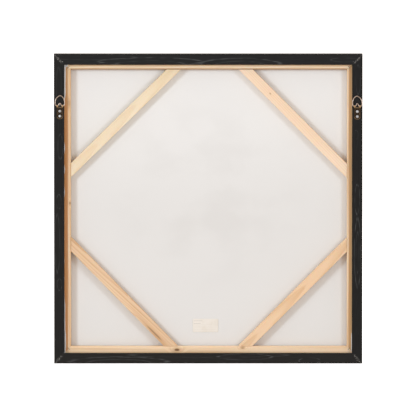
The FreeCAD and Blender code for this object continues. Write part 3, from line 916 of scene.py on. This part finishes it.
def makeLabel(look):
    low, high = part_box("paper_label")
    middle = (low + high) / 2
    halfX, halfZ = (high.x - low.x) / 2, (high.z - low.z) / 2
    thick = high.y - low.y
    shape = bmesh.new()
    steps = look["steps"]
    rows = []
    for j in range(steps + 1):
        row = []
        b = 2.0 * j / steps - 1.0
        z = halfZ * b
        overZ = max(abs(z) - (halfZ - look["corner"]), 0.0)
        pull = look["corner"] - math.sqrt(max(look["corner"] ** 2 - overZ ** 2, 0.0))
        for i in range(steps + 1):
            a = 2.0 * i / steps - 1.0
            x = (halfX - pull) * a
            wave = 0.5 + 0.5 * noise.noise(Vector((a * 2.2, b * 1.7, 4.0)))
            edge = max(abs(a), abs(b)) ** 8
            row.append(shape.verts.new((middle.x + x, middle.y - look["lift"] * edge * wave, middle.z + z)))
        rows.append(row)
    for row, above in zip(rows, rows[1:]):
        for i in range(steps):
            face = shape.faces.new((row[i], row[i + 1], above[i + 1], above[i]))
            face.smooth = True
    mesh = bpy.data.meshes.new("label")
    shape.to_mesh(mesh)
    shape.free()
    mesh.materials.append(labelPaper(look, middle))
    label = bpy.data.objects.new("label", mesh)
    bpy.context.scene.collection.objects.link(label)
    wall = label.modifiers.new("thickness", "SOLIDIFY")
    wall.thickness = thick * 0.9
    wall.offset = 0.0
    return label


label = makeLabel(labelLook)
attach(label, "frame")
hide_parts("paper_label")
print("label made")


# geometry trees: named inputs, and an end that realizes the copies and sets their material
def newTree(name, inputs):
    tree = bpy.data.node_groups.new(name, "GeometryNodeTree")
    tree.interface.new_socket("Geometry", in_out="INPUT", socket_type="NodeSocketGeometry")
    tree.interface.new_socket("Geometry", in_out="OUTPUT", socket_type="NodeSocketGeometry")
    for label, kind in inputs.items():
        tree.interface.new_socket(label, in_out="INPUT", socket_type="NodeSocket" + kind)
    entry = tree.nodes.new("NodeGroupInput")
    given = {socket.name: Signal(tree, socket) for socket in entry.outputs if socket.name}
    return tree, given


def closeTree(tree, copies, material):
    whole = copies.make("GeometryNodeRealizeInstances", None, {"Geometry": copies})
    painted = whole.make("GeometryNodeSetMaterial", None, {"Geometry": whole, "Material": material})
    leave = tree.nodes.new("NodeGroupOutput")
    tree.links.new(painted.socket, leave.inputs["Geometry"])


def grown(name, source, tree, values, body):
    # the tree's result on the source mesh, as a plain mesh that rides on the body
    piece = bpy.data.objects.new(name, source)
    bpy.context.scene.collection.objects.link(piece)
    maker = piece.modifiers.new("maker", "NODES")
    maker.node_group = tree
    for socket in tree.interface.items_tree:
        if socket.in_out == "INPUT" and socket.name in values:
            maker[socket.identifier] = values[socket.name]
    view = bpy.context.evaluated_depsgraph_get()
    made = bpy.data.meshes.new_from_object(piece.evaluated_get(view))
    piece.modifiers.remove(maker)
    piece.data = made
    made.name = name
    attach(piece, body)
    return piece


def pointsWith(name, places, **fields):
    mesh = bpy.data.meshes.new(name)
    mesh.from_pydata([tuple(place) for place in places], [], [])
    for field, values in fields.items():
        kind = "FLOAT_VECTOR" if hasattr(values[0], "__len__") else "FLOAT"
        attribute = mesh.attributes.new(field, kind, "POINT")
        flat = [x for value in values for x in value] if kind == "FLOAT_VECTOR" else values
        attribute.data.foreach_set("vector" if kind == "FLOAT_VECTOR" else "value", flat)
    return mesh


def named(start, field, kind="FLOAT"):
    return start.make("GeometryNodeInputNamedAttribute", {"data_type": kind}, {"Name": field})


def polarGrid(start, around, alongCount):
    # a flat grid whose first axis becomes the turn and whose second axis becomes the run, both 0 to 1
    grid = start.make("GeometryNodeMeshGrid", None, {"Size X": 1.0, "Size Y": 1.0,
                                                     "Vertices X": around, "Vertices Y": alongCount})
    place = start.make("GeometryNodeInputPosition")
    x, y, unused = parts(place)
    return grid, (x + 0.5) * (2.0 * math.pi), y + 0.5


def lathe(grid, turn, radius, run):
    spot = joined(radius * turn.math("COSINE", turn), run, radius * sine(turn))
    moved = grid.make("GeometryNodeSetPosition", None, {"Geometry": grid, "Position": spot})
    closed = moved.make("GeometryNodeMergeByDistance", None, {"Geometry": moved, "Distance": 1e-6})
    return closed.make("GeometryNodeSetShadeSmooth", None, {"Geometry": closed, "Shade Smooth": True})


screwLook = {
    "Head Radius": 0.0030,
    "Head Height": 0.0020,
    "Shank Length": 0.0090,
    "Root Radius": 0.00112,
    "Thread Rise": 0.00042,
    "Pitch": 0.0013,
    "Cross Reach": 0.0020,
    "Cross Width": 0.00045,
    "Cross Depth": 0.0009,
}


def screwTree():
    tree, given = newTree("round_head_screw", {**{key: "Float" for key in screwLook}, "Material": "Material"})
    start = given["Geometry"]
    # the head: a dome from its pole to its rim, then its flat underside, with a cross pressed in
    grid, turn, run = polarGrid(start, 65, 34)
    top = smoothRun(run, 0.0, 0.76)
    under = smoothRun(run, 0.76, 1.0)
    quarter = top * (math.pi / 2)
    radius = given["Head Radius"] * (sine(quarter) - under)
    dome = given["Head Height"] * quarter.math("COSINE", quarter)
    across, upward = radius * turn.math("COSINE", turn), radius * sine(turn)
    reach, width = given["Cross Reach"], given["Cross Width"]
    first = slotMask(across, upward, reach, width)
    second = slotMask(upward, across, reach, width)
    recess = largest(first, second) * given["Cross Depth"] * smooth(run, 0.74, 0.7)
    head = lathe(grid, turn, radius, recess - dome)
    # the shank: a helical thread that fades out at the point
    grid, turn, run = polarGrid(start, 25, 100)
    length = given["Shank Length"] * run
    phase = fraction(length / given["Pitch"] + turn / (2.0 * math.pi))
    ridge = 1.0 - abs(phase * 2.0 - 1.0)
    taper = smoothRun(run, 1.0, 0.72)
    body = (given["Root Radius"] + given["Thread Rise"] * smooth(ridge, 0.35, 1.0)) * taper
    shank = lathe(grid, turn, body * smooth(run, 0.0, 0.004), length)
    both = start.make("GeometryNodeJoinGeometry")
    for piece in (shank, head):
        tree.links.new(piece.socket, both.socket.node.inputs[0])
    spin = joined(0.0, named(start, "turn"), 0.0)
    copies = start.make("GeometryNodeInstanceOnPoints", None,
                        {"Points": start, "Instance": both, "Rotation": spin})
    closeTree(tree, copies, given["Material"])
    return tree


def smoothRun(run, low, high):           # straight from 0 at low to 1 at high
    return run.make("ShaderNodeMapRange", {"clamp": True}, {"Value": run, "From Min": low, "From Max": high})


def slotMask(far, near, reach, width):
    inReach = smooth(abs(far) / reach, 1.0, 0.86)
    inWidth = smooth(abs(near) / width, 1.15, 0.75)
    return inReach * inWidth


def makeScrews(material):
    places, turns = [], []
    for side, spins in (("left", (20.0, 65.0)), ("right", (50.0, 5.0))):
        low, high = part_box("strap_screws_" + side)
        x = (low.x + high.x) / 2
        seatY = low.y + screwLook["Head Height"]
        inset = screwLook["Head Radius"]
        for z, spin in zip((high.z - inset, low.z + inset), spins):
            places.append((x, seatY, z))
            turns.append(math.radians(spin))
    source = pointsWith("screw_places", places, turn=turns)
    screws = grown("strap_screws", source, screwTree(), {**screwLook, "Material": material}, "frame")
    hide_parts("strap_screws_left", "strap_screws_right")
    return screws


screws = makeScrews(zinc)
print("screws made:", len(screws.data.polygons), "faces")

# staples through the margin: bent wire with rounded shoulders
stapleLook = {"Crown": 0.0100, "Leg": 0.0058, "Wire": 0.00036, "Shoulder": 0.0008}
stapleRows = {"spacing": 0.060, "endGap": 0.030, "inset": 0.0044}


def stapleTree():
    tree, given = newTree("staple", {**{key: "Float" for key in stapleLook}, "Material": "Material"})
    start = given["Geometry"]
    line = start.make("GeometryNodeMeshLine", None, {"Count": 4})
    index = start.make("GeometryNodeInputIndex")
    isFar = smoothRun(index, 1.4, 1.6)
    isCrown = smoothRun(abs(index - 1.5), 1.0, 0.9)
    spot = joined(given["Crown"] * (isFar - 0.5), given["Leg"] * (1.0 - isCrown), 0.0)
    shaped = line.make("GeometryNodeSetPosition", None, {"Geometry": line, "Position": spot})
    wire = shaped.make("GeometryNodeMeshToCurve", None, {"Mesh": shaped})
    rounded = wire.make("GeometryNodeFilletCurve", None, {"Curve": wire, "Radius": given["Shoulder"]})
    rounded.socket.node.mode = "POLY"
    rounded.socket.node.inputs["Count"].default_value = 3
    section = start.make("GeometryNodeCurvePrimitiveCircle", None, {"Resolution": 6, "Radius": given["Wire"]})
    tube = start.make("GeometryNodeCurveToMesh", None,
                      {"Curve": rounded, "Profile Curve": section, "Fill Caps": True})
    spin = joined(0.0, named(start, "turn"), 0.0)
    copies = start.make("GeometryNodeInstanceOnPoints", None,
                        {"Points": start, "Instance": tube, "Rotation": spin})
    closeTree(tree, copies, given["Material"])
    return tree


def makeStaples(material):
    low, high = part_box("canvas_face")
    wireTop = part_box("canvas_staples")[0].y
    middle = (low + high) / 2
    inset = stapleRows["inset"]
    places, turns = [], []
    for side in ("bottom", "top", "left", "right"):
        upright = side in ("left", "right")
        length = high.z - low.z if upright else high.x - low.x
        count = int((length - 2 * stapleRows["endGap"]) / stapleRows["spacing"]) + 1
        step = (length - 2 * stapleRows["endGap"]) / (count - 1)
        for i in range(count):
            run = -length / 2 + stapleRows["endGap"] + i * step
            if upright:
                x = low.x + inset if side == "left" else high.x - inset
                places.append((x, wireTop + stapleLook["Wire"], middle.z + run))
            else:
                z = low.z + inset if side == "bottom" else high.z - inset
                places.append((middle.x + run, wireTop + stapleLook["Wire"], z))
            turns.append(math.pi / 2 if upright else 0.0)
    source = pointsWith("staple_places", places, turn=turns)
    staples = grown("margin_staples", source, stapleTree(), {**stapleLook, "Material": material}, "frame")
    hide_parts("canvas_staples")
    return staples


staples = makeStaples(steel)
print("staples made:", len(staples.data.polygons), "faces")
